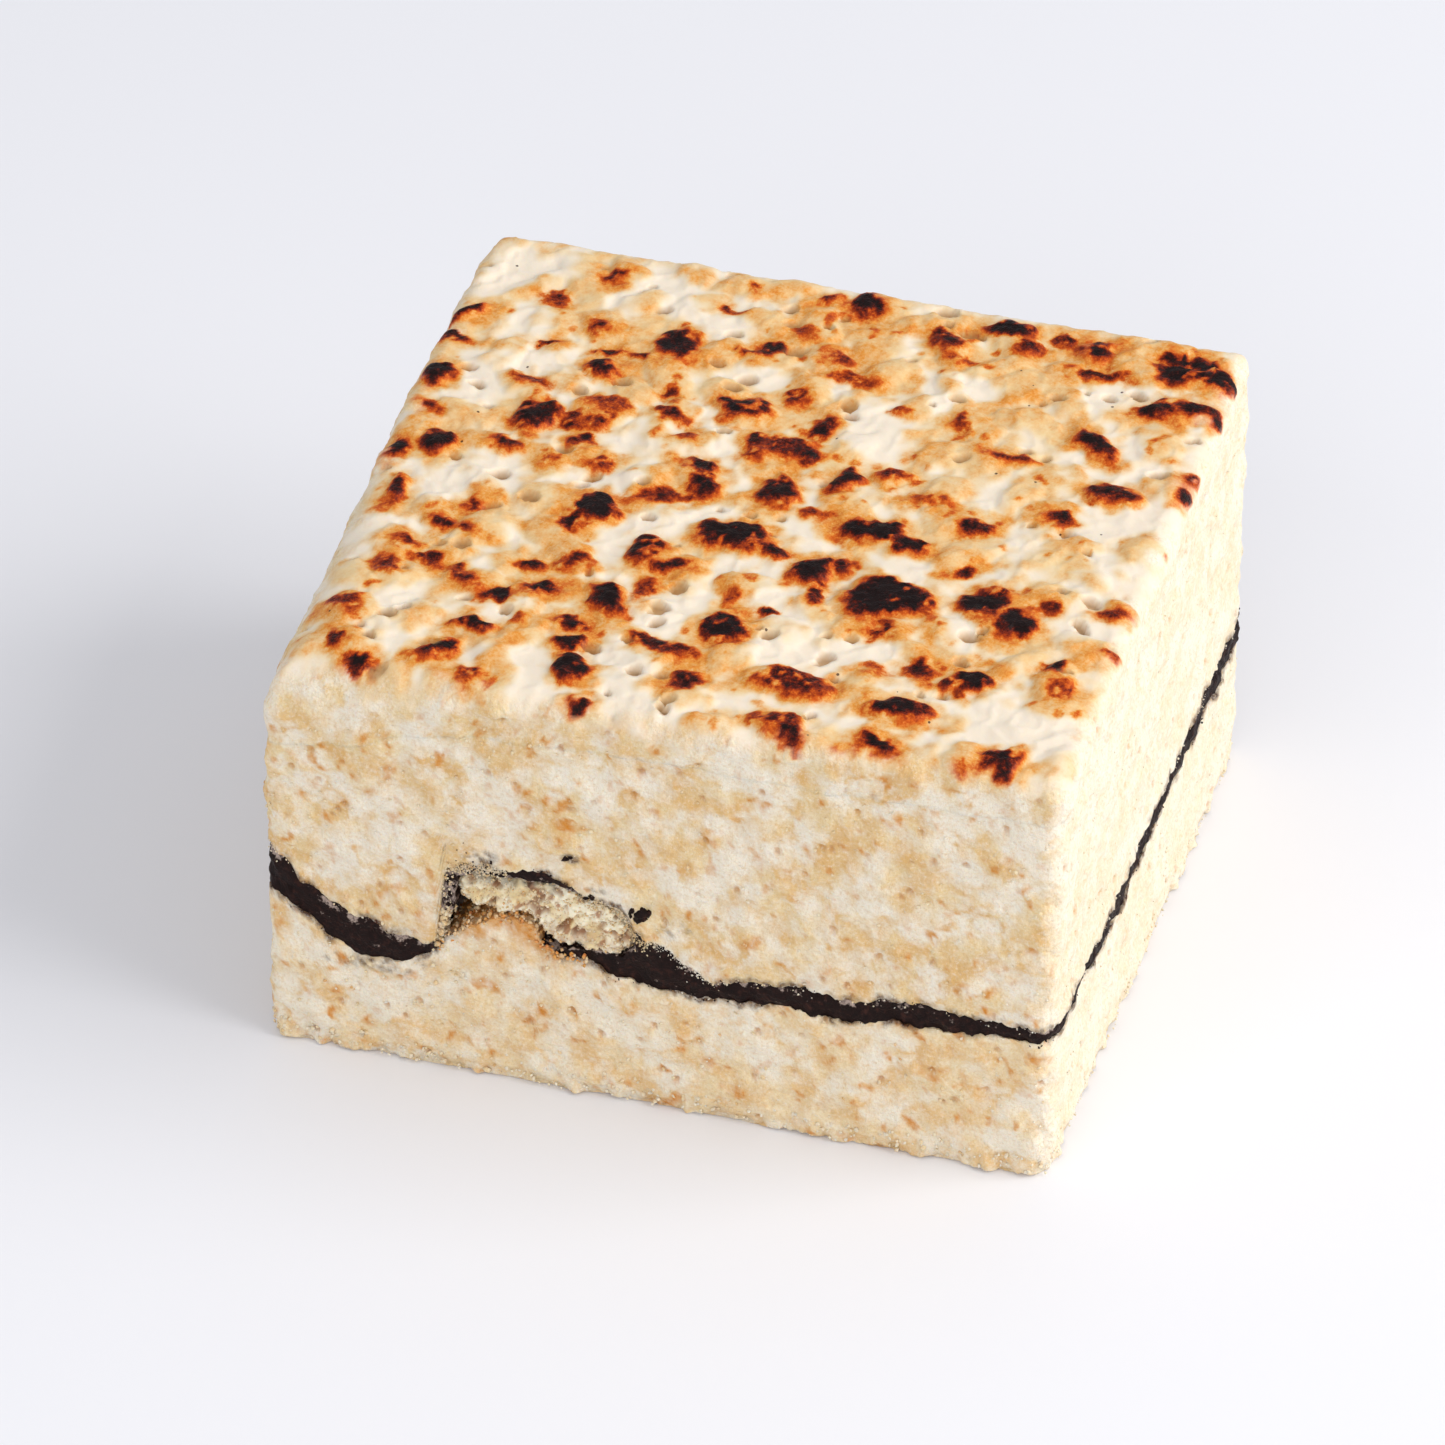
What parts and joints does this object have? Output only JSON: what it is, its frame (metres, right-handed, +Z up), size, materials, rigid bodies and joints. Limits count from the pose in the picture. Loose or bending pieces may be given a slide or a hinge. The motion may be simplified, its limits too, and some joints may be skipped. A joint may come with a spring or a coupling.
{
  "type": "toasted crisped rice and chocolate square",
  "caption": "Square cut from a slab: two layers of crisped rice and marshmallow round a wavy dark chocolate layer, torched on top.",
  "frame": {"origin": "centre of the underside of the bounding box", "axes": "+Z up, +X to the right along the front cut face, +Y away from the front cut face"},
  "size_m": [0.0662, 0.0606, 0.0412],
  "materials": {
    "crisped_rice": "crumbly knife-cut crisped rice set in marshmallow",
    "toasted_rice": "crisped rice under melted marshmallow, torched dark on the highest grains",
    "dark_chocolate": "broken dark chocolate, satin",
    "pale_crumb": "dry crumbly clump of crisped rice and biscuit"
  },
  "bodies": {
    "root": {"bottom_slab": "crisped_rice", "chocolate_layer": "dark_chocolate", "filling_clump": "pale_crumb", "top_slab": "toasted_rice"}
  },
  "joints": []
}
